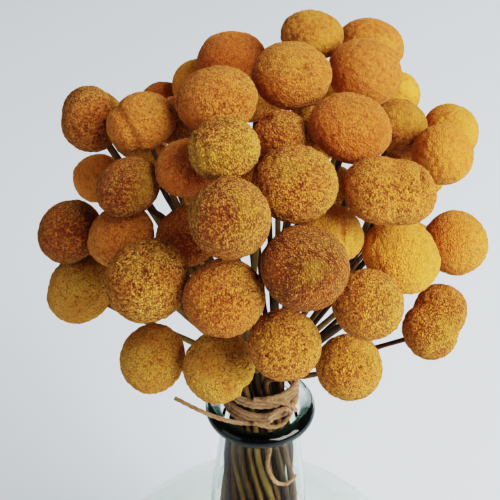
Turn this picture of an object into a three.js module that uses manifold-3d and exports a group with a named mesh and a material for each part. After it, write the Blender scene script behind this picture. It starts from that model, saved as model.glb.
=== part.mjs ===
// A bunch of dried billy buttons, tied with twine and standing in a round glass bottle vase.
// Millimetres, +Z up. The origin is the middle of the vase's flat foot, and the bunch's front looks along -Y.
import * as THREE from "three";
import { ConvexGeometry } from "three/addons/geometries/ConvexGeometry.js";
import { mergeVertices } from "three/addons/utils/BufferGeometryUtils.js";
import Module from "manifold-3d";

const wasm = await Module();
wasm.setup();

// Vase: a globe with a flat foot, a neck that narrows upwards, and a thick rolled lip.
const footRadius = 40;
const globe = { radius: 84, height: 75, from: -60, to: 66 }; // its middle's height, and its arc in degrees
const neckFoot = { radius: 21.6, height: 170 };
const neckTop = { radius: 17.2, height: 221 };
const lip = { radius: 20.2, thickness: 6.6, height: 228.7 };
const glassWall = 2;
const glassFloor = 6;
const vaseSides = 24;

// Stems: one to a head, bound together above the lip, standing on the vase's floor.
const stemRadius = 1.35;
const stemSides = 5;
const stemPitch = 3.0; // between neighbours where they are bound
const boundFrom = 228;
const boundTo = 254;
const core = { from: 233, to: 251 }; // the stems pressed together under the twine
// Inside the vase: how much wider the stems stand there than where they are bound, and their twist in degrees.
const splay = [
  { height: glassFloor + 0.6, wider: 2.4, twist: 75 },
  { height: 180, wider: 1.42, twist: 40 }, // in the neck, nearly against the glass
];
const stemRoom = 0.8; // kept between a stem and another stem's head
const bendingRounds = 120;
const evening = 0.2; // how far each round of bending smooths a stem
const seatGap = 1.2; // from a stem's tip to the bottom of the dimple in its head, whose sides it nearly meets
const dimple = 0.86; // how far down from its middle a head reaches where its stem enters

// Twine: a few turns round the stems and two loose ends.
const twineRadius = 1.25;
const twineSides = 5;
const twineTurns = 5;
const twinePitch = 2.75;
const twineFrom = 234.6;
const twineClear = 0.3; // from the outer stems
const stepsPerTurn = 10;

// Heads: how many places a head's spiral of florets has, and how far every third one stands out.
const florets = { inView: 66, hidden: 48 };
const floretRise = 0.8;
const flattest = 0.72; // a head's height by its width
const roundest = 0.96;
const twinShare = 0.96; // of a twin head's second half to its first
const facetRoom = 1.025; // a head's points stand this much further out, so that its facets lie on the ball
const headGap = 0.5; // at least, between neighbours
const easingRounds = 500;
const sideways = 0.05; // how freely a head in view gives way across the line of sight
const goldenAngle = Math.PI * (3 - Math.sqrt(5));

// The view that the heads are set out in: a square picture 500 units wide, seen from in front and above.
const view = { x: -5.2, y: -366, z: 596, down: 37.7, roll: 0.7, focal: 1200, middle: 250 };
const dome = { height: 334, across: 66, tall: 62 }; // the heads' middles lie on it

// Each head: the place of its middle in that view, its half width and half height there, and how far it lies
// behind the dome's near side along the line of sight, in mm. "far" heads lie on the dome's far side instead.
const heads = [
  { at: [217, 100], half: [41.5, 34.5], back: 12 },
  { at: [226, 150.5], half: [37, 32.5], back: 0 },
  { at: [229.5, 218], half: [42, 42], back: -8 },
  { at: [141, 123], half: [30, 36.5], back: 10, cleft: 200 },
  { at: [93, 121], half: [31, 32], back: 0, far: true },
  { at: [88, 111], half: [26, 25], back: 22, far: true },
  { at: [98, 178], half: [24, 26], back: 14, far: true },
  { at: [130, 188], half: [34, 29], back: 12 },
  { at: [186, 168], half: [29, 34], back: 18 },
  { at: [71, 235], half: [30, 34], back: 2, far: true },
  { at: [121, 234], half: [35.5, 31], back: 14 },
  { at: [188, 236], half: [30, 34], back: 30 },
  { at: [163, 106], half: [25, 25], back: 24, far: true },
  { at: [176, 120], half: [25, 26], back: 44 },
  { at: [199, 84], half: [27, 27], back: 2, far: true },
  { at: [231, 62], half: [35, 30], back: 0, far: true },
  { at: [313, 36], half: [32, 25], back: 6, far: true },
  { at: [371, 46], half: [34, 27], back: 26, far: true },
  { at: [291, 77], half: [40.5, 34.5], back: 14 },
  { at: [364, 72], half: [37, 33.5], back: 20 },
  { at: [397, 95], half: [24, 24], back: 8, far: true },
  { at: [400, 126], half: [27, 29], back: 40 },
  { at: [449, 132], half: [28.5, 29], back: 14, far: true },
  { at: [442, 154], half: [30.5, 31], back: 0, far: true },
  { at: [350, 129], half: [42.5, 35], back: 8 },
  { at: [281, 133], half: [29, 26], back: 26, cleft: 100 },
  { at: [295, 183], half: [43.5, 40], back: 6 },
  { at: [372, 189], half: [36, 34], back: 2, twin: [31, -1] },
  { at: [455, 243], half: [32, 33], back: 0, far: true },
  { at: [335, 235], half: [27, 33], back: 26 },
  { at: [305, 268], half: [42, 45.5], back: -6 },
  { at: [397.5, 256], half: [42, 34], back: 6 },
  { at: [369, 303.5], half: [36.5, 35.5], back: -2 },
  { at: [430, 331], half: [27.5, 31], back: 2, twin: [7, -22] },
  { at: [284.5, 345], half: [37.5, 36.5], back: -2 },
  { at: [349, 367], half: [34, 33.5], back: 2 },
  { at: [80, 286], half: [33, 37], back: 6 },
  { at: [147.5, 280.5], half: [42, 44], back: -4 },
  { at: [224, 298], half: [42, 40], back: -4 },
  { at: [152.5, 358.5], half: [32.5, 35.5], back: 2 },
  { at: [219, 367], half: [37, 34.5], back: 2, cleft: 20 },
];

// Heads deeper in the bunch, which show only in the gaps between those.
const deepHeads = [
  { at: [319, 133], half: [30, 28], back: 46 },
  { at: [262, 176], half: [28, 27], back: 44 },
  { at: [151, 166], half: [25, 25], back: 48 },
];

// Heads that the view hides, on the back of the dome: azimuth from the front and height above the dome's
// middle, in degrees.
const hiddenHeads = [
  { azimuth: 98, rise: -26 },
  { azimuth: 124, rise: -17 },
  { azimuth: 151, rise: -27 },
  { azimuth: 178, rise: -18 },
  { azimuth: 203, rise: -28 },
  { azimuth: 265, rise: -27 },
  { azimuth: 118, rise: 2 },
  { azimuth: 136, rise: 8 },
  { azimuth: 162, rise: 6 },
  { azimuth: 184, rise: 10 },
  { azimuth: 228, rise: 4 },
];
const hiddenWidth = 27;

const radians = THREE.MathUtils.degToRad;
const up = new THREE.Vector3(0, 0, 1);

// Every head faces away from one point low in the bunch.
const gather = new THREE.Vector3(0, 0, 232);
const axisAt = (middle) => middle.clone().sub(gather).normalize();

// Where the line of sight through a place in the view starts, and the way it runs.
const eye = new THREE.Vector3(view.x, view.y, view.z);
function sight([x, y]) {
  const tilt = radians(view.roll);
  const across = (x - view.middle) / view.focal;
  const above = (view.middle - y) / view.focal;
  const right = across * Math.cos(tilt) - above * Math.sin(tilt);
  const over = across * Math.sin(tilt) + above * Math.cos(tilt);
  const down = radians(view.down);
  return new THREE.Vector3(
    right,
    Math.cos(down) + over * Math.sin(down),
    over * Math.cos(down) - Math.sin(down),
  ).normalize();
}

// A head's middle: where its line of sight meets the dome, or passes nearest to it, moved back by its distance.
function placeOf(head) {
  const way = sight(head.at);
  const scale = new THREE.Vector3(1 / dome.across, 1 / dome.across, 1 / dome.tall);
  const start = eye.clone().sub(new THREE.Vector3(0, 0, dome.height)).multiply(scale);
  const run = way.clone().multiply(scale);
  const a = run.dot(run);
  const b = run.dot(start);
  const inside = Math.max(0, b * b - a * (start.dot(start) - 1));
  const reach = (-b + (head.far ? 1 : -1) * Math.sqrt(inside)) / a;
  return eye.clone().addScaledVector(way, reach + head.back);
}

// A head is a ball flattened along its stem: "across" is its half width and "along" its half height. The view
// shows it as round as it faces the eye, so its half height follows from its outline there and its facing.
function headsInView() {
  return [...heads, ...deepHeads].map((head) => {
    const middle = placeOf(head);
    const perUnit = middle.distanceTo(eye) / view.focal;
    const across = Math.max(...head.half) * perUnit;
    const outline = Math.min(...head.half) / Math.max(...head.half);
    const facing = axisAt(middle).dot(sight(head.at)) ** 2;
    const flatness = Math.sqrt(Math.max(0, outline ** 2 - facing) / (1 - facing));
    const along = across * THREE.MathUtils.clamp(flatness, flattest, roundest);
    const twin = head.twin && {
      aside: head.twin[0] * perUnit,
      above: -head.twin[1] * perUnit,
    };
    const count = heads.includes(head) ? florets.inView : florets.hidden;
    return { middle, across, along, florets: count, cleft: head.cleft, twin, held: true };
  });
}

function headsBehind() {
  return hiddenHeads.map(({ azimuth, rise }, i) => {
    const turn = radians(azimuth);
    const lift = radians(rise);
    const middle = new THREE.Vector3(
      Math.sin(turn) * Math.cos(lift) * dome.across,
      -Math.cos(turn) * Math.cos(lift) * dome.across,
      dome.height + Math.sin(lift) * dome.tall,
    );
    const across = (hiddenWidth / 2) * (1 + 0.06 * Math.sin(3 * i));
    return { middle, across, along: across * 0.86, florets: florets.hidden };
  });
}

// The balls that a head takes up: one, or two for a twin head.
function ballsOf(head) {
  const { middle, across, along } = head;
  const axis = axisAt(middle);
  const balls = [{ middle, across, along, axis }];
  if (head.twin) {
    const away = middle.clone().sub(eye).normalize();
    const right = new THREE.Vector3().crossVectors(away, up).normalize();
    const above = new THREE.Vector3().crossVectors(right, away);
    const second = middle
      .clone()
      .addScaledVector(right, head.twin.aside)
      .addScaledVector(above, head.twin.above)
      .addScaledVector(away, 2);
    balls.push({ middle: second, across: across * twinShare, along: along * twinShare, axis });
  }
  return balls;
}

// How far a flattened ball reaches in a direction.
function reachOf(ball, direction) {
  const share = direction.dot(ball.axis) ** 2;
  return Math.sqrt(ball.across ** 2 * (1 - share) + ball.along ** 2 * share);
}

// Heads that would run into each other are eased apart. Those in view keep their place there and move along
// the line of sight, and hidden ones give way to them.
function easeApart(all) {
  for (let round = 0; round < easingRounds; round++) {
    for (let i = 0; i < all.length; i++) {
      for (let j = i + 1; j < all.length; j++) {
        for (const a of ballsOf(all[i])) {
          for (const b of ballsOf(all[j])) {
            const apart = b.middle.clone().sub(a.middle);
            const gap = apart.length();
            apart.normalize();
            const short = reachOf(a, apart) + reachOf(b, apart) + headGap - gap;
            if (short <= 0) continue;
            const share = all[i].held === all[j].held ? 0.5 : all[i].held ? 0 : 1;
            move(all[i], apart.clone().multiplyScalar(-short * share));
            move(all[j], apart.clone().multiplyScalar(short * (1 - share)));
          }
        }
      }
    }
  }
  function move(head, by) {
    if (head.held) {
      const away = head.middle.clone().sub(eye).normalize();
      const along = by.dot(away);
      by.multiplyScalar(sideways).addScaledVector(away, along * (1 - sideways));
    }
    head.middle.add(by);
  }
}

// The stems' places where they are bound: a sunflower spiral. Each head takes the free place nearest its side.
function bindStems(all) {
  const pitch = stemPitch * Math.sqrt(0.866 / Math.PI);
  const places = all.map((_, i) => {
    const radius = pitch * Math.sqrt(i + 0.5);
    return new THREE.Vector2(
      radius * Math.cos(i * goldenAngle),
      radius * Math.sin(i * goldenAngle),
    );
  });
  const widest = pitch * Math.sqrt(all.length);
  const leanOf = (head) =>
    Math.hypot(head.middle.x, head.middle.y) / (head.middle.z - boundTo + 30);
  const most = Math.max(...all.map(leanOf));
  for (const head of [...all].sort((a, b) => leanOf(b) - leanOf(a))) {
    const wish = new THREE.Vector2(head.middle.x, head.middle.y).setLength(
      (widest * leanOf(head)) / most,
    );
    places.sort((a, b) => a.distanceTo(wish) - b.distanceTo(wish));
    head.bound = places.shift();
  }
}

// A curve through its own points, one at each step.
class Line extends THREE.Curve {
  constructor(points) {
    super();
    this.points = points;
    this.smooth = new THREE.CatmullRomCurve3(points);
  }
  getPoint(t) {
    return this.smooth.getPoint(t);
  }
  getPointAt(t) {
    return this.smooth.getPoint(t);
  }
  getTangentAt(t) {
    return this.smooth.getTangent(t);
  }
}

// A round bar along a line.
function bar(points, radius, sides) {
  const section = new THREE.Shape(
    Array.from({ length: sides }, (_, i) => {
      const turn = (2 * Math.PI * i) / sides;
      return new THREE.Vector2(radius * Math.cos(turn), radius * Math.sin(turn));
    }),
  );
  return new THREE.ExtrudeGeometry(section, {
    steps: points.length - 1,
    extrudePath: new Line(points),
    bevelEnabled: false,
  });
}

// A stem's line above the twine, bent clear of the other heads.
function stemAbove(head, all) {
  const from = new THREE.Vector3(head.bound.x, head.bound.y, boundTo);
  const axis = axisAt(head.middle);
  const tip = head.middle.clone().addScaledVector(axis, -head.along * dimple - seatGap);
  const straight = tip.clone().sub(from);
  const reach = straight.length();
  const start = straight.clone().normalize().lerp(up, 0.35).normalize();
  const curve = new THREE.CubicBezierCurve3(
    from,
    from.clone().addScaledVector(start, reach * 0.35),
    tip.clone().addScaledVector(axis, -reach * 0.35),
    tip,
  );
  const points = curve.getPoints(4);
  const others = all.flatMap((other) => ballsOf(other).slice(other === head ? 1 : 0));
  for (let round = 0; round < bendingRounds; round++) {
    for (let k = 1; k < points.length - 1; k++) {
      const even = points[k - 1].clone().add(points[k + 1]).multiplyScalar(0.5);
      points[k].lerp(even, evening * (1 - round / bendingRounds));
    }
    for (let k = 0; k < points.length - 1; k++) {
      for (const share of [0, 0.25, 0.5, 0.75]) {
        for (const other of others) {
          const apart = points[k].clone().lerp(points[k + 1], share).sub(other.middle);
          const gap = apart.length();
          const short = reachOf(other, apart.normalize()) + stemRadius + stemRoom - gap;
          if (short <= 0) continue;
          if (k > 0) points[k].addScaledVector(apart, short * (1 - share));
          if (k + 2 < points.length) points[k + 1].addScaledVector(apart, short * share);
        }
      }
    }
  }
  return points;
}

function stemLine(head, all) {
  const low = splay.map(({ height, wider, twist }) => {
    const place = head.bound.clone().multiplyScalar(wider);
    place.rotateAround(new THREE.Vector2(), radians(twist));
    return new THREE.Vector3(place.x, place.y, height);
  });
  const bound = new THREE.Vector3(head.bound.x, head.bound.y, boundFrom);
  return [...low, bound, ...stemAbove(head, all)];
}

// Solids for cutting and joining.
function solid(geometry) {
  const bare = geometry.clone();
  bare.deleteAttribute("normal");
  bare.deleteAttribute("uv");
  const merged = mergeVertices(bare, 1e-4);
  return new wasm.Manifold(
    new wasm.Mesh({
      numProp: 3,
      vertProperties: merged.attributes.position.array,
      triVerts: new Uint32Array(merged.index.array),
    }),
  );
}

function geometryOf(made) {
  const { vertProperties, triVerts } = made.getMesh();
  const geometry = new THREE.BufferGeometry();
  geometry.setAttribute("position", new THREE.BufferAttribute(vertProperties, 3));
  geometry.setIndex(new THREE.BufferAttribute(triVerts, 1));
  geometry.computeVertexNormals();
  return geometry;
}

function vaseGeometry() {
  const outside = new THREE.Path();
  outside.absarc(0, globe.height, globe.radius, radians(globe.from), radians(globe.to));
  outside.bezierCurveTo(26, 155.4, neckFoot.radius, 158, neckFoot.radius, neckFoot.height);
  outside.bezierCurveTo(neckFoot.radius, 184, neckTop.radius, 202, neckTop.radius, neckTop.height);
  const outer = outside.getPoints(4);
  const inner = outer
    .map((p, i) => {
      const before = outer[Math.max(0, i - 1)];
      const after = outer[Math.min(outer.length - 1, i + 1)];
      const way = after.clone().sub(before).normalize();
      return new THREE.Vector2(p.x - way.y * glassWall, p.y + way.x * glassWall);
    })
    .filter((p) => p.y > glassFloor + 2)
    .reverse();
  const rim = [];
  for (let turn = -60; turn <= 240; turn += 50) {
    rim.push(
      new THREE.Vector2(
        lip.radius + (lip.thickness / 2) * Math.cos(radians(turn)),
        lip.height + (lip.thickness / 2) * Math.sin(radians(turn)),
      ),
    );
  }
  const floorEdge = new THREE.Vector2(inner.at(-1).x - 4, glassFloor);
  const profile = [
    new THREE.Vector2(0, 0),
    new THREE.Vector2(footRadius, 0),
    ...outer,
    ...rim,
    ...inner,
    floorEdge,
    new THREE.Vector2(0, glassFloor),
  ];
  return turned(profile, vaseSides);
}

// A profile of radius and height, turned round the Z axis.
function turned(profile, sides) {
  return new THREE.LatheGeometry(profile, sides).rotateX(Math.PI / 2);
}

// A head: a spiral of florets round a flattened ball, every third floret standing out, with a dimple where the
// stem enters. It is made with its stem below it, on the Z axis.
function ballGeometry(across, along, florets, seed, cleft) {
  const points = [];
  for (let i = 0; i < florets; i++) {
    const height = 1 - (2 * i + 1) / florets;
    const round = Math.sqrt(1 - height * height);
    const turn = i * goldenAngle + seed;
    points.push(new THREE.Vector3(round * Math.cos(turn), round * Math.sin(turn), height));
  }
  points.push(new THREE.Vector3(0, 0, -1));
  const geometry = new ConvexGeometry(points);
  const place = geometry.attributes.position;
  const rise = floretRise / across;
  for (let v = 0; v < place.count; v++) {
    const p = new THREE.Vector3().fromBufferAttribute(place, v);
    const nearest = points.reduce(
      (best, q, i) => (q.distanceTo(p) < points[best].distanceTo(p) ? i : best),
      0,
    );
    let size = facetRoom - (nearest % 3 === 0 ? 0 : rise);
    if (nearest === points.length - 1) size = dimple;
    if (cleft !== undefined) {
      const off = p.x * Math.cos(radians(cleft)) + p.y * Math.sin(radians(cleft)) - 0.45;
      size -= 0.09 * Math.exp(-((off / 0.12) ** 2));
    }
    place.setXYZ(v, p.x * size * across, p.y * size * across, p.z * size * along);
  }
  return geometry;
}

function headGeometry(head, index) {
  const made = ballsOf(head).map((ball, half) => {
    const upright = ballGeometry(
      ball.across,
      ball.along,
      head.florets,
      index + 2 * half,
      head.cleft,
    );
    const lean = new THREE.Quaternion().setFromUnitVectors(up, ball.axis);
    return upright.applyQuaternion(lean).translate(...ball.middle.toArray());
  });
  if (made.length === 1) return made[0];
  return geometryOf(solid(made[0]).add(solid(made[1])));
}

// The radius of the bound stems together.
const bundleRadius = (all) =>
  Math.max(...all.map((head) => head.bound.length())) + stemRadius;

function stemsGeometry(all) {
  const radius = bundleRadius(all);
  const pressed = new THREE.CylinderGeometry(radius, radius, core.to - core.from, 20);
  pressed.rotateX(Math.PI / 2).translate(0, 0, (core.from + core.to) / 2);
  let joined = solid(pressed);
  for (const head of all) {
    joined = joined.add(solid(bar(stemLine(head, all), stemRadius, stemSides)));
  }
  return geometryOf(joined);
}

function twineGeometry(all) {
  const chordRoom = Math.cos(Math.PI / stepsPerTurn); // a turn is a polygon round the bundle
  const radius = (bundleRadius(all) + twineClear + twineRadius) / chordRoom;
  const turns = Array.from({ length: twineTurns * stepsPerTurn + 1 }, (_, i) => {
    const turn = -Math.PI / 2 - (2 * Math.PI * i) / stepsPerTurn;
    return new THREE.Vector3(
      radius * Math.cos(turn),
      radius * Math.sin(turn),
      twineFrom + (twinePitch * i) / stepsPerTurn,
    );
  });
  const top = twineFrom + twineTurns * twinePitch;
  const leftEnd = [
    new THREE.Vector3(4, -radius, twineFrom + 0.2),
    new THREE.Vector3(-8, -radius - 0.4, twineFrom + 0.6),
    new THREE.Vector3(-16, -radius - 0.6, twineFrom + 3),
    new THREE.Vector3(-25, -radius + 0.5, twineFrom + 6.6),
    new THREE.Vector3(-36, -radius + 3, twineFrom + 11.6),
  ];
  const rightEnd = [
    new THREE.Vector3(-3, -radius, top),
    new THREE.Vector3(4, -radius - 0.3, top - 0.6),
    new THREE.Vector3(11, -radius + 0.6, top - 3.4),
    new THREE.Vector3(15, -radius + 1.4, top - 8),
  ];
  const endRadius = twineRadius * 0.8;
  return geometryOf(
    solid(bar(turns, twineRadius, twineSides))
      .add(solid(bar(leftEnd, endRadius, twineSides)))
      .add(solid(bar(rightEnd, endRadius, twineSides))),
  );
}

const straw = new THREE.MeshStandardMaterial({ color: 0x8a7a4a, roughness: 0.85 });
const jute = new THREE.MeshStandardMaterial({ color: 0xb89470, roughness: 0.95 });
const mustard = new THREE.MeshStandardMaterial({ color: 0xd9932b, roughness: 0.95 });
const glass = new THREE.MeshStandardMaterial({
  color: 0xdfe8e4,
  roughness: 0.05,
  transparent: true,
  opacity: 0.35,
});

function mesh(name, geometry, material) {
  const made = new THREE.Mesh(geometry, material);
  made.name = name;
  return made;
}

const all = [...headsInView(), ...headsBehind()];
easeApart(all);
bindStems(all);

const bunch = new THREE.Group();
bunch.add(mesh("vase", vaseGeometry(), glass));
bunch.add(mesh("stems", stemsGeometry(all), straw));
bunch.add(mesh("twine", twineGeometry(all), jute));
all.forEach((head, i) => {
  const name = "head_" + String(i + 1).padStart(2, "0");
  bunch.add(mesh(name, headGeometry(head, i), mustard));
});

export default bunch;
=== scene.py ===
# A bunch of dried billy buttons, tied with twine, in a round glass bottle vase.
# Metres, +Z up, the front looks along -Y.
import math
import random

import bpy
import numpy as np
from mathutils import Matrix, Vector


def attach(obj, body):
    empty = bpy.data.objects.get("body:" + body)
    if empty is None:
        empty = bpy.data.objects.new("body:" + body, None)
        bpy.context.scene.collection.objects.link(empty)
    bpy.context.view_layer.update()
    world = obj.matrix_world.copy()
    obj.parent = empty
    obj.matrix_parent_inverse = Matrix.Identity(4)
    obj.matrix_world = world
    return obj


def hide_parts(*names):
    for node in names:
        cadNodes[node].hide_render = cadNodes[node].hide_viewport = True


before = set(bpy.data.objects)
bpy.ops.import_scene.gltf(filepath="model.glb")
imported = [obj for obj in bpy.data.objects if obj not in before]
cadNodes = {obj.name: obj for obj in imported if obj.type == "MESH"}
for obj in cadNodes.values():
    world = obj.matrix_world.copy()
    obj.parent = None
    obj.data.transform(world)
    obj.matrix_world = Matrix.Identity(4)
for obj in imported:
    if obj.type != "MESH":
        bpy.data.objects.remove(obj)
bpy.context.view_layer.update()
headNames = sorted(name for name in cadNodes if name.startswith("head_"))
upward = Vector((0, 0, 1))
print("frame loaded,", len(headNames), "heads to grow")


def nothingSelected():
    if bpy.context.object and bpy.context.object.mode != "OBJECT":
        bpy.ops.object.mode_set(mode="OBJECT")
    bpy.ops.object.select_all(action="DESELECT")


def onlySelected(piece):
    nothingSelected()
    piece.select_set(True)
    bpy.context.view_layer.objects.active = piece


def editWhole():                                 # edit mode, with all of the active mesh selected
    bpy.ops.object.mode_set(mode="EDIT")
    bpy.ops.mesh.select_all(action="SELECT")


def placeApplied(piece):
    onlySelected(piece)
    bpy.ops.object.transform_apply(location=True, rotation=True, scale=True)


def modifiersApplied(piece):
    onlySelected(piece)
    for modifier in list(piece.modifiers):
        bpy.ops.object.modifier_apply(modifier=modifier.name)


def raised(piece, texture, rise, level=0.5):     # a point stays where the texture has this level
    push = piece.modifiers.new("relief", "DISPLACE")
    push.texture = texture
    push.texture_coords = "LOCAL"
    push.strength = rise
    push.mid_level = level


def perVertex(mesh, what):                       # "co" or "normal", one row for each vertex
    flat = np.empty(len(mesh.vertices) * 3, np.float32)
    mesh.vertices.foreach_get(what, flat)
    return flat.reshape(-1, 3).astype(float)


def setPoints(mesh, points):
    mesh.vertices.foreach_set("co", points.astype(np.float32).ravel())
    mesh.update()


def setAttribute(mesh, name, values):
    made = mesh.attributes.new(name, "FLOAT", "POINT")
    made.data.foreach_set("value", np.asarray(values, np.float32))


def bezierWeights(t):                            # of a curve's start, its two handles and its end
    return ((1 - t) ** 3, 3 * t * (1 - t) ** 2, 3 * t * t * (1 - t), t**3)


# Shader sockets that add their own Math nodes when values are added or multiplied
class Socket:
    def __init__(self, finish, socket):
        self.finish = finish
        self.socket = socket

    def math(self, operation, first, second):
        return self.finish.node("ShaderNodeMath", {"operation": operation}, {0: first, 1: second})

    def __add__(self, other):
        return self.math("ADD", self, other)

    def __radd__(self, other):
        return self.math("ADD", other, self)

    def __sub__(self, other):
        return self.math("SUBTRACT", self, other)

    def __rsub__(self, other):
        return self.math("SUBTRACT", other, self)

    def __mul__(self, other):
        return self.math("MULTIPLY", self, other)

    def __rmul__(self, other):
        return self.math("MULTIPLY", other, self)


class Finish:
    def __init__(self, name):
        self.material = bpy.data.materials.new(name)
        self.material.use_nodes = True
        self.tree = self.material.node_tree
        self.tree.nodes.clear()

    def node(self, kind, settings=None, inputs=None, output=0):
        made = self.tree.nodes.new(kind)
        for key, value in (settings or {}).items():
            if key == "stops":
                self.setStops(made.color_ramp, value)
            else:
                setattr(made, key, value)
        for key, value in (inputs or {}).items():
            if isinstance(value, Socket):
                self.tree.links.new(value.socket, made.inputs[key])
            else:
                made.inputs[key].default_value = value
        return Socket(self, made.outputs[output]) if made.outputs else None

    def setStops(self, ramp, stops):
        while len(ramp.elements) > 1:
            ramp.elements.remove(ramp.elements[-1])
        for index, (position, colour) in enumerate(stops):
            stop = ramp.elements[0] if index == 0 else ramp.elements.new(position)
            stop.position = position
            stop.color = colour

    def place(self):
        return self.node("ShaderNodeTexCoord", output="Object")

    def along(self, axis):                       # 0 for X, 1 for Y, 2 for Z
        return self.node("ShaderNodeSeparateXYZ", None, {"Vector": self.place()}, output=axis)

    def attribute(self, name):
        return self.node("ShaderNodeAttribute", {"attribute_name": name}, output="Fac")

    def part(self, value, output):               # another output of the node that the value comes from
        return Socket(self, value.socket.node.outputs[output])

    def stretched(self, vector, scale):
        return self.node("ShaderNodeVectorMath", {"operation": "MULTIPLY"}, {0: vector, 1: scale})

    def noise(self, vector, scale, detail=2.0, roughness=0.5):
        return self.node("ShaderNodeTexNoise", None,
                         {"Vector": vector, "Scale": scale, "Detail": detail, "Roughness": roughness})

    def spread(self, value, low, high):          # 0 at low, 1 at high
        return self.node("ShaderNodeMapRange", None, {0: value, 1: low, 2: high})

    def ramp(self, value, stops):
        return self.node("ShaderNodeValToRGB", {"stops": stops}, {"Fac": value})

    def mix(self, amount, first, second):
        return self.node("ShaderNodeMix", {"data_type": "RGBA"},
                         {"Factor": amount, 6: first, 7: second}, output=2)

    def bump(self, height, strength, distance):
        return self.node("ShaderNodeBump", None,
                         {"Height": height, "Strength": strength, "Distance": distance})

    def surface(self, inputs):
        self.shown(self.node("ShaderNodeBsdfPrincipled", None, inputs))

    def shown(self, shader):
        self.node("ShaderNodeOutputMaterial", None, {"Surface": shader})


def rgb(red, green, blue):                       # a screen colour of 0 to 255, as the scene's values
    def linear(value):
        value /= 255
        return value / 12.92 if value <= 0.04045 else ((value + 0.055) / 1.055) ** 2.4
    return (linear(red), linear(green), linear(blue), 1)


def shaded(colour, share):                       # darker below 1, paler above it
    return (*(value * share for value in colour[:3]), 1)


def dress(piece, *finishes):
    piece.data.materials.clear()
    for finish in finishes:
        piece.data.materials.append(finish.material)


# Camera and lights come first, as the photo has them
cameraSetup = {
    "place": (-0.0052, -0.366, 0.596),
    "down": 37.7,                # degrees below level
    "roll": 0.7,                 # degrees
    "lens": 86.4,                # millimetres, as the next one
    "sensor": 36,
    "nearest": 0.05,
    "farthest": 30,
}
lamps = {
    "windowLight": {             # large, to the right and somewhat above
        "from": (0.75, -0.50, 0.68),
        "far": 2.2,
        "side": 1.75,
        "power": 69.0,
        "colour": (1.0, 0.97, 0.92),
    },
    "fillLight": {
        "from": (-0.80, -0.55, 0.30),
        "far": 1.8,
        "side": 1.2,
        "power": 3.6,
        "colour": (0.86, 0.92, 1.0),
    },
}
lightSetup = {
    "aim": (0, 0, 0.3),
    "sky": (0.80, 0.85, 0.92, 1),
    "skyStrength": 0.15,
    "view": "Filmic",
    "contrast": "High Contrast",
    "exposure": 0.65,
}
backdrop = {
    "size": 16,
    "below": 0.0002,
    "colour": (0.715, 0.78, 0.85),
    "leftPaintedShade": 0.885,          # painted shade on the left, as a share of that colour
    # painted light on the right, as a share of the same colour
    "rightPaintedLight": 1.06,
    "fadeFrom": -0.4,            # the painted shade turns to painted light between these places from left to right
    "fadeTo": 0.5,
    "cloudScale": 1.2,
    "cloudShift": 0.1,
    "roughness": 0.9,
    # painted light: the floor glows with its own painted colours
    "paintedGlow": 0.11,
}


def makeCamera():
    data = bpy.data.cameras.new("camera")
    data.lens = cameraSetup["lens"]
    data.sensor_width = cameraSetup["sensor"]
    data.clip_start = cameraSetup["nearest"]
    data.clip_end = cameraSetup["farthest"]
    camera = bpy.data.objects.new("camera", data)
    bpy.context.scene.collection.objects.link(camera)
    tilt = Matrix.Rotation(math.radians(90 - cameraSetup["down"]), 4, "X")
    roll = Matrix.Rotation(math.radians(cameraSetup["roll"]), 4, "Z")
    camera.matrix_world = Matrix.Translation(cameraSetup["place"]) @ tilt @ roll
    bpy.context.scene.camera = camera
    return camera


def makeFloor():
    nothingSelected()
    bpy.ops.mesh.primitive_plane_add(size=backdrop["size"], location=(0, 0, -backdrop["below"]))
    floor = bpy.context.object
    floor.name = "floor"
    placeApplied(floor)
    paper = Finish("palePaper")
    clouds = paper.noise(paper.place(), backdrop["cloudScale"], detail=1.0)
    place = paper.along(0) + clouds * backdrop["cloudShift"]
    # painted light and shade: the floor is darker on the left, lighter on the right, and glows a little
    rightwards = paper.spread(place, backdrop["fadeFrom"], backdrop["fadeTo"])
    ends = [shaded(backdrop["colour"], backdrop[side]) for side in ("leftPaintedShade", "rightPaintedLight")]
    tint = paper.mix(rightwards, *ends)
    paper.surface({
        "Base Color": tint,
        "Roughness": backdrop["roughness"],
        "Emission Color": tint,
        "Emission Strength": backdrop["paintedGlow"],
    })
    dress(floor, paper)


def makeLamp(name, lamp):
    data = bpy.data.lights.new(name, "AREA")
    data.shape = "SQUARE"
    data.size = lamp["side"]
    data.energy = lamp["power"]
    data.color = lamp["colour"]
    light = bpy.data.objects.new(name, data)
    bpy.context.scene.collection.objects.link(light)
    way = Vector(lamp["from"]).normalized()
    light.location = Vector(lightSetup["aim"]) + way * lamp["far"]
    light.rotation_euler = way.to_track_quat("Z", "Y").to_euler()


def lightScene():
    world = bpy.data.worlds.new("sky")
    bpy.context.scene.world = world
    world.use_nodes = True
    sky = world.node_tree.nodes["Background"]
    sky.inputs["Color"].default_value = lightSetup["sky"]
    sky.inputs["Strength"].default_value = lightSetup["skyStrength"]
    for name, lamp in lamps.items():
        makeLamp(name, lamp)
    shown = bpy.context.scene.view_settings
    shown.view_transform = lightSetup["view"]
    shown.look = lightSetup["contrast"]
    shown.exposure = lightSetup["exposure"]


cameraTurn = makeCamera().matrix_world.to_3x3()
makeFloor()
lightScene()
print("camera, floor and lights set")

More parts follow.
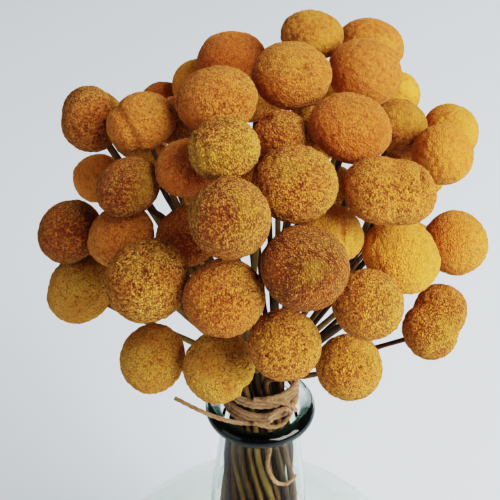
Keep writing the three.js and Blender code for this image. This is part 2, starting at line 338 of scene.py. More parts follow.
# Heads: balls of florets, each measured from its CAD node
headShape = {
    "gather": (0, 0, 0.232),     # every head faces away from this point
    "firstCuts": 3,              # subdivisions of the ball, which leave 320 faces
    "cuts": 6,                   # each of those is cut into (cuts + 1) squared
    "dimpleDepth": 0.16,         # of the half height, where the stem enters
    "dimpleWidth": 0.30,         # in radians from there
    "lumpSize": 0.0085,
    "lumpRise": 0.0009,
    "clumpSize": 0.0018,
    "clumpRise": 0.0006,
    "clumpLevel": 0.25,
    "softShare": 0.75,           # of the clumps' rise, on a head with no crispness
    "crispShare": 0.25,          # added to it by a crispness of 1
    "reliefContrast": 1.2,       # how strongly the clumps' height shows in the colour: painted shade in the low places, paler raised tips
    "creases": {"head_04": 200, "head_26": 100, "head_41": 20},    # degrees round the head's axis
    "creaseDepth": 0.10,         # of the head's radius, as the next two
    "creaseWidth": 0.13,
    "creaseAway": 0.45,          # from the axis
    "twins": ("head_28", "head_34"),
    "sharingRounds": 8,          # of parting a twin's points between its two balls
    "twinSmoothing": 14,
}

# A head's age from rusty at 0 to olive at 1, how much paler it is, and how crisp its florets are
# Paleness is partly own tone, partly painted light and shade: lighter on heads kept from the window, darker
# on some it reaches
headLooks = {
    "head_01": (0.0, -0.28, 0.7), "head_02": (0.48, -0.23, 1.58), "head_03": (0.18, -0.42, 1.12),
    "head_04": (0.08, -0.21, 0.5), "head_05": (0.22, -0.38, 0.6), "head_06": (0.28, -0.52, 0.75),
    "head_07": (0.02, -0.1, 0.3), "head_08": (0.26, -0.48, 0.8), "head_09": (-0.15, -0.28, 0.5),
    "head_10": (0.29, -0.5, 0.7), "head_11": (-0.02, -0.18, 0.7), "head_12": (-0.35, -0.43, 0.99),
    "head_13": (-0.4, -0.46, 0.5), "head_14": (0.02, -0.5, 0.5), "head_15": (-0.19, 0.23, 0.3),
    "head_16": (-0.23, -0.39, 0.3), "head_17": (0.39, -0.32, 0.25), "head_18": (0.06, -0.24, 0.25),
    "head_19": (0.11, -0.26, 0.5), "head_20": (0.08, -0.28, 0.2), "head_21": (0.36, -0.07, 0.2),
    "head_22": (0.38, -0.41, 0.3), "head_23": (0.31, -0.18, 0.25), "head_24": (-0.07, -0.11, 0.3),
    "head_25": (-0.23, -0.28, 0.55), "head_26": (-0.12, -0.35, 0.99), "head_27": (0.22, -0.28, 0.96),
    "head_28": (0.0, -0.16, 0.9), "head_29": (0.04, -0.12, 0.45), "head_30": (-0.26, 0.45, 0.6),
    "head_31": (0.13, -0.62, 1.31), "head_32": (0.24, 0.03, 0.6), "head_33": (0.04, -0.16, 1.27),
    "head_34": (0.02, -0.24, 1.12), "head_35": (0.3, -0.2, 1.06), "head_36": (0.16, -0.1, 1.07),
    "head_37": (0.03, 0.45, 1.8), "head_38": (0.04, -0.16, 1.8), "head_39": (0.0, -0.23, 1.2),
    "head_40": (-0.11, 0.41, 1.8), "head_41": (0.04, 0.45, 1.8),
    "unseen": (0.35, -0.03, 0.8),          # every other head
}

# Dents and dried spots as the photo shows them, in millimetres from a head's middle: to the right, upwards,
# half width, half height, depth. The last number below 0 paints shade into the dent, and above 0 bleaches
# dried florets.
marks = {
    "head_26": (-5.0, 5.9, 2.4, 2.0, 1.3, -1.0),
    "head_28": (9.6, 4.3, 0.8, 4.0, 1.5, -1.0),
    "head_30": (3.1, 0.4, 0.8, 3.6, 1.2, -1.0),
    "head_34": (5.0, -5.5, 1.6, 1.4, 0.2, 0.9),
    "head_37": (-5.0, -8.0, 3.4, 1.5, 0.2, 1.1),
    "head_38": (-1.0, 4.1, 1.5, 2.0, 1.3, -0.9),
    "head_39": (12.4, -6.2, 1.3, 2.4, 0.2, 0.8),
}


# The flattened ball that lies nearest to some points, its axis pointing away from where the stems gather
def fittedBall(points):
    axis = (Vector(points.mean(axis=0)) - Vector(headShape["gather"])).normalized()
    turn = np.array(upward.rotation_difference(axis).to_matrix())
    x, y, h = (points @ turn).T                  # x*x + y*y = -k*h*h + 2*a*x + 2*b*y + 2*c*h + d on the ball
    known = x * x + y * y
    unknown = np.stack([-h * h, 2 * x, 2 * y, 2 * h, np.ones_like(h)], axis=1)
    k, a, b, c, d = np.linalg.lstsq(unknown, known, rcond=None)[0]
    across = math.sqrt(d + a * a + b * b + c * c / k)
    middle = Vector(turn @ np.array([a, b, c / k]))
    return {"middle": middle, "axis": axis, "across": across, "along": across / math.sqrt(k)}


# A twin head's points are shared between its two balls, by the nearer middle
def ballsOf(name):
    points = np.unique(np.round(perVertex(cadNodes[name].data, "co"), 6), axis=0)
    if name not in headShape["twins"]:
        return [fittedBall(points)]
    middle = points.mean(axis=0)
    first = points[np.argmax(np.linalg.norm(points - middle, axis=1))]
    second = points[np.argmax(np.linalg.norm(points - first, axis=1))]
    for _ in range(headShape["sharingRounds"]):
        nearFirst = np.linalg.norm(points - first, axis=1) < np.linalg.norm(points - second, axis=1)
        first, second = points[nearFirst].mean(axis=0), points[~nearFirst].mean(axis=0)
    return [fittedBall(points[nearFirst]), fittedBall(points[~nearFirst])]


def makeUnitBall():
    nothingSelected()
    bpy.ops.mesh.primitive_ico_sphere_add(subdivisions=headShape["firstCuts"], radius=1)
    ball = bpy.context.object
    ball.name = "unitBall"
    editWhole()
    bpy.ops.mesh.subdivide(number_cuts=headShape["cuts"])
    bpy.ops.object.mode_set(mode="OBJECT")
    points = perVertex(ball.data, "co")
    setPoints(ball.data, points / np.linalg.norm(points, axis=1)[:, None])
    return ball


def headTextures():
    lumps = bpy.data.textures.new("lumps", "CLOUDS")
    lumps.noise_scale = headShape["lumpSize"]
    lumps.noise_depth = 1
    clumps = bpy.data.textures.new("clumps", "VORONOI")
    clumps.noise_scale = headShape["clumpSize"]
    clumps.distance_metric = "DISTANCE_SQUARED"
    return lumps, clumps


def copyOf(piece, name):
    made = bpy.data.objects.new(name, piece.data.copy())
    bpy.context.scene.collection.objects.link(made)
    return made


def placedBall(unitBall, ball, name, crease=None):
    made = copyOf(unitBall, name)
    points = perVertex(made.data, "co")
    down = np.arccos(np.clip(-points[:, 2], -1, 1))          # angle from the stem
    size = 1 - headShape["dimpleDepth"] * np.exp(-((down / headShape["dimpleWidth"]) ** 2))
    if crease is not None:
        side = points[:, 0] * math.cos(math.radians(crease)) + points[:, 1] * math.sin(math.radians(crease))
        away = (side - headShape["creaseAway"]) / headShape["creaseWidth"]
        size -= headShape["creaseDepth"] * np.exp(-(away**2))
    setPoints(made.data, points * size[:, None])
    made.scale = (ball["across"], ball["across"], ball["along"])
    made.rotation_euler = upward.rotation_difference(ball["axis"]).to_euler()
    made.location = ball["middle"]
    placeApplied(made)
    return made


# Two balls grown together, as one skin drawn tight over both
def wrappedTwin(unitBall, balls, name):
    lobes = [placedBall(unitBall, ball, "lobe") for ball in balls]
    nothingSelected()
    for lobe in lobes:
        lobe.select_set(True)
    bpy.context.view_layer.objects.active = lobes[0]
    bpy.ops.object.join()
    first, second = (ball["middle"] for ball in balls)
    around = balls[0]["across"] + (first - second).length
    made = copyOf(unitBall, name)
    made.scale = (around, around, around)
    made.location = (first + second) / 2
    placeApplied(made)
    wrap = made.modifiers.new("wrap", "SHRINKWRAP")
    wrap.target = lobes[0]
    wrap.wrap_method = "PROJECT"
    wrap.use_positive_direction = False
    wrap.use_negative_direction = True
    modifiersApplied(made)
    editWhole()
    bpy.ops.mesh.vertices_smooth(factor=0.5, repeat=headShape["twinSmoothing"])
    bpy.ops.object.mode_set(mode="OBJECT")
    bpy.data.objects.remove(lobes[0])
    return made


# Presses a mark into a head, and gives how much brighter it makes each point: painted shade in a dent,
# bleached dried florets on a pale spot
def pressMark(head, middle, mark):
    right, above, halfWidth, halfHeight, depth, tone = mark
    away = (perVertex(head.data, "co") - np.array(middle)) * 1000
    toRight, toTop, toCamera = (away @ np.array(axis) for axis in cameraTurn.col)
    x = (toRight - right) / halfWidth
    y = (toTop - above) / halfHeight
    share = np.exp(-(x**2) - y**2) * (toCamera > 0)
    pressed = perVertex(head.data, "normal") * (share * depth / 1000)[:, None]
    setPoints(head.data, perVertex(head.data, "co") - pressed)
    return share * tone


def growHead(name, unitBall, textures, finish):
    balls = ballsOf(name)
    shown = "florets_" + name[-2:]
    if name in headShape["twins"]:
        head = wrappedTwin(unitBall, balls, shown)
    else:
        head = placedBall(unitBall, balls[0], shown, headShape["creases"].get(name))
    lumps, clumps = textures
    raised(head, lumps, headShape["lumpRise"])
    modifiersApplied(head)
    normals = perVertex(head.data, "normal")
    dentShadeAndDrySpots = 0
    if name in marks:
        middle = sum((ball["middle"] for ball in balls), Vector()) / len(balls)
        dentShadeAndDrySpots = pressMark(head, middle, marks[name])
    before = perVertex(head.data, "co")
    age, paler, crisp = headLooks.get(name, headLooks["unseen"])
    share = headShape["softShare"] + headShape["crispShare"] * crisp
    raised(head, clumps, -headShape["clumpRise"] * share, headShape["clumpLevel"])
    modifiersApplied(head)
    lift = ((perVertex(head.data, "co") - before) * normals).sum(axis=1)
    # relief: the clumps' height, which paints the florets darker in low places as shade, with the marks'
    # tones added
    relief = np.clip(0.5 + lift / headShape["clumpRise"] * headShape["reliefContrast"], 0, 1) + dentShadeAndDrySpots
    # painted light and shade: each head more olive towards the window, rustier away from it
    towardWindow = normals @ np.array(Vector(lamps["windowLight"]["from"]).normalized())
    setAttribute(head.data, "age", age + towardWindow * floretLook["paintedWindowHue"])
    # paler: partly the head's own tone, partly painted light and shade for the whole head
    setAttribute(head.data, "paler", np.full(len(lift), paler))
    setAttribute(head.data, "crisp", np.full(len(lift), crisp))
    setAttribute(head.data, "relief", relief)
    bpy.ops.object.shade_smooth()
    dress(head, finish)
    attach(head, "root")
    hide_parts(name)
    return balls, lift


floretLook = {
    "ramp": [                    # from the bottom of a crevice, painted shade as well as the florets' own browner bases, to pollen
        (0.0, rgb(104, 52, 28)), (0.26, rgb(170, 103, 52)), (0.50, rgb(206, 135, 62)),
        (0.76, rgb(229, 153, 62)), (1.0, rgb(248, 190, 90)),
    ],
    "olive": rgb(216, 168, 66),
    "rust": rgb(194, 98, 44),
    "floretScale": 1500,         # florets to a metre
    "speckScale": 2600,
    "patchScale": 60,
    # rimShade and reliefShade paint floret rims and low clumps darker: painted shade, partly the florets' own
    # browner bases
    "rimShade": 0.6,             # how far these move a floret along the ramp
    "ownShade": 0.6,
    "speckShade": 0.7,
    "reliefShade": 0.24,
    "tone": 0.56,
    "patchShade": 0.5,           # how far patches ripen a head, and as much again on a crisp one
    "ageShade": 0.6,
    "ripeness": 0.56,
    "paintedWindowHue": 0.15,            # painted light and shade: how much older, more olive, a head is painted on its side towards the window, rustier on its far side
    "evenRipeness": 0.72,        # neither olive nor rusty
    "oliveRipeness": 1.05,
    "rustRipeness": 0.40,
    "tint": 0.5,                 # the most olive or rust that is mixed in
    "bumpStrength": 0.9,
    "bumpDepth": 0.0014,
    "ownBump": 0.4,              # of a floret's height
    "speckBump": 0.6,
}


def floretFinish():
    made = Finish("dryFlorets")
    place = made.place()
    relief = made.attribute("relief")
    age, paler, crisp = made.attribute("age"), made.attribute("paler"), made.attribute("crisp")
    cells = made.node("ShaderNodeTexVoronoi", None, {"Vector": place, "Scale": floretLook["floretScale"]},
                      output="Distance")
    own = made.node("ShaderNodeSeparateColor", None, {"Color": made.part(cells, "Color")})
    specks = made.noise(place, floretLook["speckScale"], roughness=0.6)
    patches = made.noise(place, floretLook["patchScale"])
    # painted shade: floret rims and low clumps darker, as in the crevices, partly the florets' own browner
    # bases
    varied = (0.5 - cells) * floretLook["rimShade"] + (own - 0.5) * floretLook["ownShade"]
    varied += (specks - 0.5) * floretLook["speckShade"]
    level = varied * crisp + (relief - 0.5) * floretLook["reliefShade"] + paler + floretLook["tone"]
    colour = made.ramp(level, floretLook["ramp"])
    ripe = (patches - 0.5) * ((crisp + 1) * floretLook["patchShade"])
    ripe += age * floretLook["ageShade"] + floretLook["ripeness"]
    for tint in ("olive", "rust"):
        amount = made.spread(ripe, floretLook["evenRipeness"], floretLook[tint + "Ripeness"])
        colour = made.mix(amount * floretLook["tint"], colour, floretLook[tint])
    height = ((1 - cells) + own * floretLook["ownBump"] + specks * floretLook["speckBump"]) * crisp
    made.surface({
        "Base Color": colour,
        "Roughness": 0.9,
        "Specular IOR Level": 0.12,
        "Sheen Weight": 0.5,
        "Sheen Roughness": 0.3,
        "Sheen Tint": (1.0, 0.56, 0.18, 1),
        "Normal": made.bump(height, floretLook["bumpStrength"], floretLook["bumpDepth"]),
    })
    return made


unitBall = makeUnitBall()
textures = headTextures()
florets = floretFinish()
headBalls = {}
lifts = []
for name in headNames:
    headBalls[name], lift = growHead(name, unitBall, textures, florets)
    lifts.append((lift.min(), lift.max(), lift.std()))
bpy.data.objects.remove(unitBall)
print("heads grown, floret relief", np.round(np.array(lifts).mean(axis=0) * 1000, 3), "mm")

# Stems: one to a head, gathered under the twine and spread again on the vase's floor
stemRun = {
    "radius": 0.00135,
    "thinnest": 0.86,            # of that radius
    "thickest": 1.08,
    "stemSeed": 7,
    "tipShare": 0.80,            # a stem's radius under its head, of that at its foot
    "pitch": 0.0030,             # between neighbours where they are bound
    "packed": 0.866,             # the area that a bound stem takes, of its pitch squared
    "boundFrom": 0.230,
    "boundTo": 0.254,
    "leanFrom": 0.224,           # stems lean as if they all started at this height
    "feet": (                    # below the tie: height, times wider than bound, twist in degrees
        (0.0068, 2.4, 75), (0.180, 1.43, 40), (0.208, 1.25, 15),
    ),
    "stray": 5,                  # degrees by which a stem may leave that twist
    "straySeed": 11,
    "tieTwist": -28,             # how far the tie's upper end is turned against its lower end
    "rising": 0.35,              # how far upright a stem leaves the tie
    "handle": 0.35,              # a curve's handles, of its length
    "seat": 0.0008,              # how far a tip runs into the dimple's bottom
    "room": 0.0008,              # kept from other heads
    "near": 0.003,               # heads farther off than this don't count
    "stretches": 4,              # of a stem above the tie
    "bendingRounds": 120,
    "evening": 0.2,              # how far a round evens the line, at first
    "probes": (0, 0.25, 0.5, 0.75),        # places along a stretch that are kept clear
    "stepsBetween": 6,
    "roundness": 2,
    "knobbiness": 0.0006,
    "knobSize": 0.006,
}


def facing(ball, direction):                     # how far a ball reaches in a direction
    share = direction.dot(ball["axis"]) ** 2
    return math.sqrt(ball["across"] ** 2 * (1 - share) + ball["along"] ** 2 * share)


def leanOf(name):
    middle = headBalls[name][0]["middle"]
    return math.hypot(middle.x, middle.y) / (middle.z - stemRun["leanFrom"])


# Where each head's stem is bound: a sunflower spiral, each head taking the free place nearest its side
def boundPlaces():
    pitch = stemRun["pitch"] * math.sqrt(stemRun["packed"] / math.pi)
    goldenAngle = math.pi * (3 - math.sqrt(5))
    free = []
    for i in range(len(headNames)):
        away = pitch * math.sqrt(i + 0.5)
        free.append(Vector((away * math.cos(i * goldenAngle), away * math.sin(i * goldenAngle))))
    widest = pitch * math.sqrt(len(headNames))
    most = max(leanOf(name) for name in headNames)
    bound = {}
    for name in sorted(headNames, key=leanOf, reverse=True):
        middle = headBalls[name][0]["middle"]
        wish = Vector((middle.x, middle.y)).normalized() * (widest * leanOf(name) / most)
        place = min(free, key=lambda p: (p - wish).length)
        free.remove(place)
        bound[name] = place
    return bound


# Pushes a stem's line out of the heads that it would run through, and evens it between the pushes
def bentClear(line, obstacles):
    last = len(line) - 1
    for turn in range(stemRun["bendingRounds"]):
        for k in range(1, last):
            even = (line[k - 1] + line[k + 1]) / 2
            line[k] = line[k].lerp(even, stemRun["evening"] * (1 - turn / stemRun["bendingRounds"]))
        for k in range(last):
            for share in stemRun["probes"]:
                at = line[k].lerp(line[k + 1], share)
                for other in obstacles:
                    apart = at - other["middle"]
                    gap = apart.length
                    if gap > other["across"] + stemRun["near"]:
                        continue
                    apart.normalize()
                    short = facing(other, apart) + stemRun["radius"] + stemRun["room"] - gap
                    if short > 0 and k > 0:
                        line[k] = line[k] + apart * short * (1 - share)
                    if short > 0 and k < last - 1:
                        line[k + 1] = line[k + 1] + apart * short * share
    return line


def stemAbove(name, bound, obstacles):
    ball = headBalls[name][0]
    place = Matrix.Rotation(math.radians(stemRun["tieTwist"]), 2) @ bound
    start = Vector((place.x, place.y, stemRun["boundTo"]))
    tip = ball["middle"] - ball["axis"] * (ball["along"] * (1 - headShape["dimpleDepth"]) - stemRun["seat"])
    straight = tip - start
    reach = straight.length
    rising = straight.normalized().lerp(upward, stemRun["rising"]).normalized()
    corners = (start, start + rising * reach * stemRun["handle"],
               tip - ball["axis"] * reach * stemRun["handle"], tip)
    line = []
    for k in range(stemRun["stretches"] + 1):
        weights = bezierWeights(k / stemRun["stretches"])
        line.append(sum((corner * weight for corner, weight in zip(corners, weights)), Vector()))
    return bentClear(line, obstacles)


def stemLines():
    bound = boundPlaces()
    draw = random.Random(stemRun["straySeed"])
    lines = []
    for name in headNames:
        others = [ball for other in headNames if other != name for ball in headBalls[other]]
        others += headBalls[name][1:]
        line = []
        for height, wider, twist in stemRun["feet"]:
            twist += draw.uniform(-1, 1) * stemRun["stray"]
            place = Matrix.Rotation(math.radians(twist), 2) @ (bound[name] * wider)
            line.append(Vector((place.x, place.y, height)))
        line.append(Vector((bound[name].x, bound[name].y, stemRun["boundFrom"])))
        lines.append(line + stemAbove(name, bound[name], others))
    return lines, max(place.length for place in bound.values()) + stemRun["radius"]


# A mesh of round rods, each along its own smooth line with its own radius at each point
def rods(name, lines, radii, steps, roundness):
    data = bpy.data.curves.new(name, "CURVE")
    data.dimensions = "3D"
    data.bevel_depth = 1
    data.bevel_resolution = roundness
    data.resolution_u = steps
    data.use_fill_caps = True
    for line, radius in zip(lines, radii):
        spline = data.splines.new("BEZIER")
        spline.bezier_points.add(len(line) - 1)
        for point, place, thick in zip(spline.bezier_points, line, radius):
            point.co = place
            point.radius = thick
            point.handle_left_type = point.handle_right_type = "AUTO"
    made = bpy.data.objects.new(name, data)
    bpy.context.scene.collection.objects.link(made)
    onlySelected(made)
    bpy.ops.object.convert(target="MESH")
    editWhole()
    bpy.ops.mesh.remove_doubles(threshold=1e-6)  # the caps come with points of their own
    bpy.ops.object.mode_set(mode="OBJECT")
    return bpy.context.object


stemLook = {
    "ramp": [
        (0.08, rgb(44, 28, 14)), (0.38, rgb(94, 63, 32)), (0.62, rgb(116, 94, 48)),
        (0.95, rgb(156, 127, 76)),
    ],
    "streakScale": (900.0, 900.0, 60.0),
    "blotchScale": 90.0,
    "ownShade": 0.62,            # how far these move a stem along the ramp
    "streakShade": 0.6,
    "blotchShade": 0.5,
    "tone": 0.01,
    "bumpStrength": 0.6,
    "bumpDepth": 0.0003,
}


def stemFinish():
    made = Finish("dryStems")
    place = made.place()
    stretched = made.stretched(place, stemLook["streakScale"])
    streaks = made.noise(stretched, scale=1.0, detail=3.0, roughness=0.6)
    blotches = made.noise(place, stemLook["blotchScale"])
    level = made.attribute("tone") * stemLook["ownShade"] + (streaks - 0.5) * stemLook["streakShade"]
    level += (blotches - 0.5) * stemLook["blotchShade"] + stemLook["tone"]
    made.surface({
        "Base Color": made.ramp(level, stemLook["ramp"]),
        "Roughness": 0.75,
        "Specular IOR Level": 0.25,
        "Sheen Weight": 0.06,
        "Sheen Roughness": 0.5,
        "Sheen Tint": (1.0, 0.8, 0.5, 1),
        "Normal": made.bump(streaks, stemLook["bumpStrength"], stemLook["bumpDepth"]),
    })
    return made


def makeStems():
    lines, bundle = stemLines()
    draw = random.Random(stemRun["stemSeed"])
    last = len(lines[0]) - 1
    taper = [stemRun["radius"] * (1 + (stemRun["tipShare"] - 1) * k / last) for k in range(last + 1)]
    sizes = [draw.uniform(stemRun["thinnest"], stemRun["thickest"]) for _ in lines]
    radii = [[radius * size for radius in taper] for size in sizes]
    stems = rods("stems_bundle", lines, radii, stemRun["stepsBetween"], stemRun["roundness"])
    tones = [draw.random() for _ in lines]
    setAttribute(stems.data, "tone", np.repeat(tones, len(stems.data.vertices) // len(lines)))
    knobs = bpy.data.textures.new("knobs", "CLOUDS")
    knobs.noise_scale = stemRun["knobSize"]
    raised(stems, knobs, stemRun["knobbiness"])
    modifiersApplied(stems)
    bpy.ops.object.shade_smooth()
    dress(stems, stemFinish())
    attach(stems, "root")
    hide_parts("stems")
    return bundle


bundleRadius = makeStems()
print("stems laid, bundle radius", round(bundleRadius * 1000, 2), "mm")

# Twine: plied jute, wound round the stems just above the lip
twineShape = {
    "radius": 0.00125,
    "clear": 0.0003,
    "solidSteps": 10,            # the solid's turns are polygons of this many sides
    "crossings": (               # heights at the front and the back by turns
        0.2338, 0.2352, 0.2362, 0.2392, 0.2384, 0.2420, 0.2436, 0.2440, 0.2458, 0.2466, 0.2480,
    ),
    "stepsPerTurn": 30,
    "looseShare": 0.8,           # the loose stretches' thickness, of the turns'
    "looseStep": 0.0012,
    "fineSteps": 24,             # between two of their points, before even steps are chosen
    "plies": 3,
    "plyShare": 0.58,            # a ply's radius, of the twine's
    "lay": 0.0095,               # length of one twist of the plies
    "stepsBetween": 2,
    "roundness": 1,
}

# The loose stretches, from the front of the turns. The left end's heights count from the lowest crossing, the
# right end's from the highest and the loop's from the floor.
looseTwine = {
    "leftEnd": ((0.004, 0, 0.0002), (-0.008, -0.0004, 0.0006), (-0.016, -0.0006, 0.003),
                (-0.025, 0.0005, 0.0066), (-0.036, 0.003, 0.0116)),
    "rightEnd": ((-0.003, 0, 0), (0.004, -0.0003, -0.0006), (0.011, 0.0006, -0.0034),
                 (0.015, 0.0014, -0.008)),
    "loop": ((-0.003, -0.0020, 0.2362), (0.004, -0.0026, 0.2345), (0.009, -0.0016, 0.2352),
             (0.0125, 0.0010, 0.2392), (0.0105, -0.0006, 0.2432), (0.006, -0.0026, 0.2436),
             (0.0035, -0.0030, 0.2408), (0.0050, -0.0028, 0.2378)),
}

# A strand that hangs in the neck, from the vase's axis
neckStrand = ((0.004, -0.0125, 0.2290), (0.0040, -0.0152, 0.2180), (0.0035, -0.0166, 0.2090),
              (0.0070, -0.0166, 0.1995), (0.0125, -0.0132, 0.1950), (0.0165, -0.0080, 0.1960))


def woundTwine(radius):
    crossings = twineShape["crossings"]
    half = twineShape["stepsPerTurn"] // 2
    wound = []
    for i in range(half * (len(crossings) - 1) + 1):
        turn = -math.pi / 2 - math.pi * i / half
        before = min(i // half, len(crossings) - 2)
        share = 0.5 - 0.5 * math.cos(math.pi * (i / half - before))
        height = crossings[before] * (1 - share) + crossings[before + 1] * share
        wound.append(Vector((radius * math.cos(turn), radius * math.sin(turn), height)))
    return wound


def twineRoutes():
    chordRoom = math.cos(math.pi / twineShape["solidSteps"])
    radius = (bundleRadius + twineShape["clear"] + twineShape["radius"]) / chordRoom
    starts = {"leftEnd": twineShape["crossings"][0], "rightEnd": twineShape["crossings"][-1], "loop": 0}
    routes = [woundTwine(radius)]
    for name, points in looseTwine.items():
        routes.append(evenly([Vector((x, y - radius, z + starts[name])) for x, y, z in points]))
    routes.append(evenly([Vector(point) for point in neckStrand]))
    return routes


def evenly(points):                              # a smooth line through points, in even steps
    fine = []
    for k in range(len(points) - 1):
        before, after = points[max(0, k - 1)], points[min(len(points) - 1, k + 2)]
        start, end = points[k], points[k + 1]
        leave, arrive = (end - before) / 2, (after - start) / 2
        for i in range(twineShape["fineSteps"]):
            t = i / twineShape["fineSteps"]
            fine.append(start * (2 * t**3 - 3 * t**2 + 1) + leave * (t**3 - 2 * t**2 + t)
                        + end * (3 * t**2 - 2 * t**3) + arrive * (t**3 - t**2))
    fine.append(points[-1].copy())
    kept, run = [fine[0]], 0.0
    for a, b in zip(fine, fine[1:]):
        run += (b - a).length
        if run >= twineShape["looseStep"]:
            kept.append(b)
            run = 0.0
    return kept


def plies(route, away):                          # lines that twist round a route, at a distance from it
    count = twineShape["plies"]
    lines = [[] for _ in range(count)]
    run = 0.0
    side = upward
    for i, place in enumerate(route):
        along = (route[min(i + 1, len(route) - 1)] - route[max(i - 1, 0)]).normalized()
        side = (side - along * side.dot(along)).normalized()
        other = along.cross(side)
        if i:
            run += (place - route[i - 1]).length
        for k in range(count):
            turn = 2 * math.pi * (run / twineShape["lay"] + k / count)
            lines[k].append(place + (side * math.cos(turn) + other * math.sin(turn)) * away)
    return lines


twineLook = {
    "ramp": [(0.0, rgb(72, 48, 32)), (0.45, rgb(136, 102, 69)), (1.0, rgb(186, 152, 114))],
    "fibreScale": 1400.0,
    "blotchScale": 130.0,
    "fibreShade": 0.9,           # how far these move the twine along the ramp
    "blotchShade": 0.7,
    "ownShade": 0.25,
    "tone": 0.40,
    "toneSeed": 3,
    "bumpStrength": 0.8,
    "bumpDepth": 0.0003,
}


def twineFinish():
    made = Finish("juteTwine")
    place = made.place()
    fibres = made.noise(place, twineLook["fibreScale"], detail=3.0, roughness=0.7)
    blotches = made.noise(place, twineLook["blotchScale"])
    level = (fibres - 0.5) * twineLook["fibreShade"] + (blotches - 0.5) * twineLook["blotchShade"]
    level += made.attribute("tone") * twineLook["ownShade"] + twineLook["tone"]
    made.surface({
        "Base Color": made.ramp(level, twineLook["ramp"]),
        "Roughness": 0.9,
        "Specular IOR Level": 0.15,
        "Sheen Weight": 0.3,
        "Sheen Roughness": 0.5,
        "Normal": made.bump(fibres, twineLook["bumpStrength"], twineLook["bumpDepth"]),
    })
    return made


def makeTwine():
    routes = twineRoutes()
    lines, radii = [], []
    for route in routes:
        radius = twineShape["radius"] * (1 if route is routes[0] else twineShape["looseShare"])
        ply = radius * twineShape["plyShare"]
        for line in plies(route, radius - ply):
            lines.append(line)
            radii.append([ply] * len(line))
    twine = rods("twine_tie", lines, radii, twineShape["stepsBetween"], twineShape["roundness"])
    draw = np.random.default_rng(twineLook["toneSeed"])
    setAttribute(twine.data, "tone", draw.random(len(twine.data.vertices)))
    bpy.ops.object.shade_smooth()
    dress(twine, twineFinish())
    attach(twine, "root")
    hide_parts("twine")
    return sum((b - a).length for route in routes for a, b in zip(route, route[1:]))


print("twine wound,", round(makeTwine() * 1000), "mm of it")

# Vase: a globe with a narrowing neck and a thick rolled lip, turned ring by ring
vaseShape = {
    "sides": 96,
    "centre": 0.0008,                     # the first and last ring's radius, each closed by a flat face
    "footRadius": 0.040,
    "heel": ((-0.002, 0), (-0.0003, 0.0001), (0.0008, 0.0007)),        # from the foot's edge
    "globe": (0.084, 0.075, -60, 66),     # radius, height of its middle, from and to in degrees
    "globeSteps": 36,
    "shoulder": ((0.026, 0.1554), (0.0216, 0.158)),
    "shoulderSteps": 10,
    "neckFoot": (0.0216, 0.170),
    "neckCurve": ((0.0216, 0.184), (0.0172, 0.202)),
    "neckTop": (0.0172, 0.221),
    "neckSteps": 12,
    "lip": (0.0202, 0.2287, 0.0033),      # radius of its middle, height, half thickness
    "lipTurn": (-60, 240),                # degrees
    "lipSteps": 20,
    "lipFrom": 0.2240,                    # the lip's glass starts here, its front painted dark as a painted reflection
    "wall": 0.0014,
    "floor": 0.006,
    "wallFoot": 0.003,                    # the inner wall ends this much above the floor
    "floorEdge": ((-0.0022, 0.0010), (-0.0055, 0.0002), (-0.010, 0)),  # from there inwards, above the floor
    "smoothBelow": 40,                    # degrees
}


def arc(radius, height, roll, turns, steps):     # rings round a circle's arc: radius and height of each
    low, high = turns
    rings = []
    for i in range(steps + 1):
        turn = math.radians(low + (high - low) * i / steps)
        rings.append((radius + roll * math.cos(turn), height + roll * math.sin(turn)))
    return rings


def curve(corners, steps):                       # rings along a curve, after its start
    rings = []
    for i in range(1, steps + 1):
        weights = bezierWeights(i / steps)
        rings.append(tuple(sum(w * c[axis] for w, c in zip(weights, corners)) for axis in (0, 1)))
    return rings


def innerWall(outer):
    inner = []
    for i, (radius, height) in enumerate(outer):
        before, after = outer[max(0, i - 1)], outer[min(len(outer) - 1, i + 1)]
        out, up = after[0] - before[0], after[1] - before[1]
        share = vaseShape["wall"] / math.hypot(out, up)
        inner.append((radius - up * share, height + out * share))
    return [ring for ring in inner if ring[1] > vaseShape["floor"] + vaseShape["wallFoot"]][::-1]


def vaseRings():
    radius, height, low, high = vaseShape["globe"]
    outer = arc(0, height, radius, (low, high), vaseShape["globeSteps"])
    shoulder = (outer[-1], *vaseShape["shoulder"], vaseShape["neckFoot"])
    neck = (vaseShape["neckFoot"], *vaseShape["neckCurve"], vaseShape["neckTop"])
    outer += curve(shoulder, vaseShape["shoulderSteps"])
    outer += curve(neck, vaseShape["neckSteps"])
    lip = arc(*vaseShape["lip"], vaseShape["lipTurn"], vaseShape["lipSteps"])
    inner = innerWall(outer)
    heel = [(vaseShape["footRadius"] + out, up) for out, up in vaseShape["heel"]]
    floor = [(inner[-1][0] + out, vaseShape["floor"] + up) for out, up in vaseShape["floorEdge"]]
    centre = vaseShape["centre"]
    return [(centre, 0)] + heel + outer + lip + inner + floor + [(centre, vaseShape["floor"])]


glassLook = {
    "clear": (0.92, 0.96, 0.92, 1),
    # painted reflection of dark surroundings, near black with a green cast
    "green": (0.006, 0.016, 0.011, 1),
    "darkReflectionFrom": 0.012,                   # painted reflection: the lip turns from clear at the back to near-black green at the front between these places along Y
    "darkReflectionTo": -0.004,
    "swirlScale": 9.0,
    "swirlShade": 0.985,
    "roughness": 0.02,
    "body": {"ior": 1.2, "shine": 0.05, "lampsThrough": 0.25},         # shine is a share of full reflection
    "lip": {"ior": 1.5, "shine": 0.7, "lampsThrough": 0.3},
}


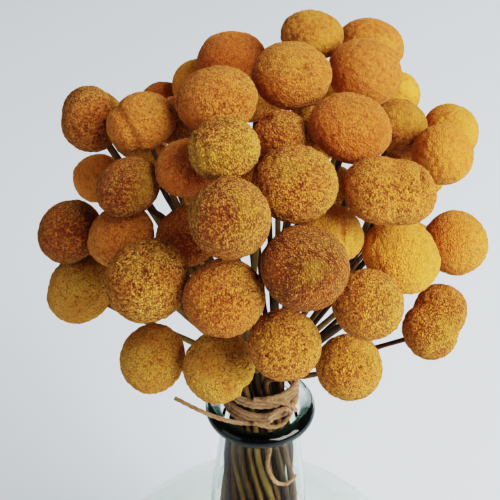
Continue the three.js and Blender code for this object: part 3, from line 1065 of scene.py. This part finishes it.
def bodyTint(made):
    swirl = made.noise(made.place(), glassLook["swirlScale"], detail=1.0)
    return made.mix(swirl, glassLook["clear"], shaded(glassLook["clear"], glassLook["swirlShade"]))


def lipPaintedReflection(made):
    # painted reflection: the lip's front is painted near black, its back stays clear
    darkReflectionShare = made.spread(made.along(1), glassLook["darkReflectionFrom"], glassLook["darkReflectionTo"])
    return made.mix(darkReflectionShare, glassLook["clear"], glassLook["green"])


def glassFinish(name, tintOf, look):
    made = Finish(name)
    glass = made.node("ShaderNodeBsdfPrincipled", None, {
        "Base Color": tintOf(made),
        "Roughness": glassLook["roughness"],
        "IOR": look["ior"],
        "Specular Tint": (look["shine"], look["shine"], look["shine"], 1),
        "Transmission Weight": 1.0,
    })
    lampRay = made.node("ShaderNodeLightPath", output="Is Shadow Ray")
    unbent = made.node("ShaderNodeBsdfTransparent", None, {"Color": glassLook["clear"]})
    through = lampRay * look["lampsThrough"]
    made.shown(made.node("ShaderNodeMixShader", None, {"Fac": through, 1: glass, 2: unbent}))
    return made


def makeVase():
    rings = vaseRings()
    nothingSelected()
    bpy.ops.mesh.primitive_circle_add(vertices=vaseShape["sides"], radius=rings[0][0], fill_type="NGON",
                                      location=(0, 0, rings[0][1]))
    vase = bpy.context.object
    vase.name = "vase_glass"
    editWhole()
    for (radius, height), (nextRadius, nextHeight) in zip(rings, rings[1:]):
        bpy.ops.mesh.extrude_edges_move(TRANSFORM_OT_translate={"value": (0, 0, nextHeight - height)})
        wider = nextRadius / radius
        bpy.ops.transform.resize(value=(wider, wider, 1), center_override=(0, 0, nextHeight))
    bpy.ops.mesh.edge_face_add()
    bpy.ops.mesh.select_all(action="SELECT")
    bpy.ops.mesh.normals_make_consistent(inside=False)
    bpy.ops.object.mode_set(mode="OBJECT")
    placeApplied(vase)
    bpy.ops.object.shade_smooth_by_angle(angle=math.radians(vaseShape["smoothBelow"]))
    dress(vase, glassFinish("bottleGlass", bodyTint, glassLook["body"]),
          glassFinish("lipGlassPaintedReflection", lipPaintedReflection, glassLook["lip"]))
    for face in vase.data.polygons:
        face.material_index = int(face.center.z > vaseShape["lipFrom"])
    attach(vase, "root")
    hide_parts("vase")


makeVase()
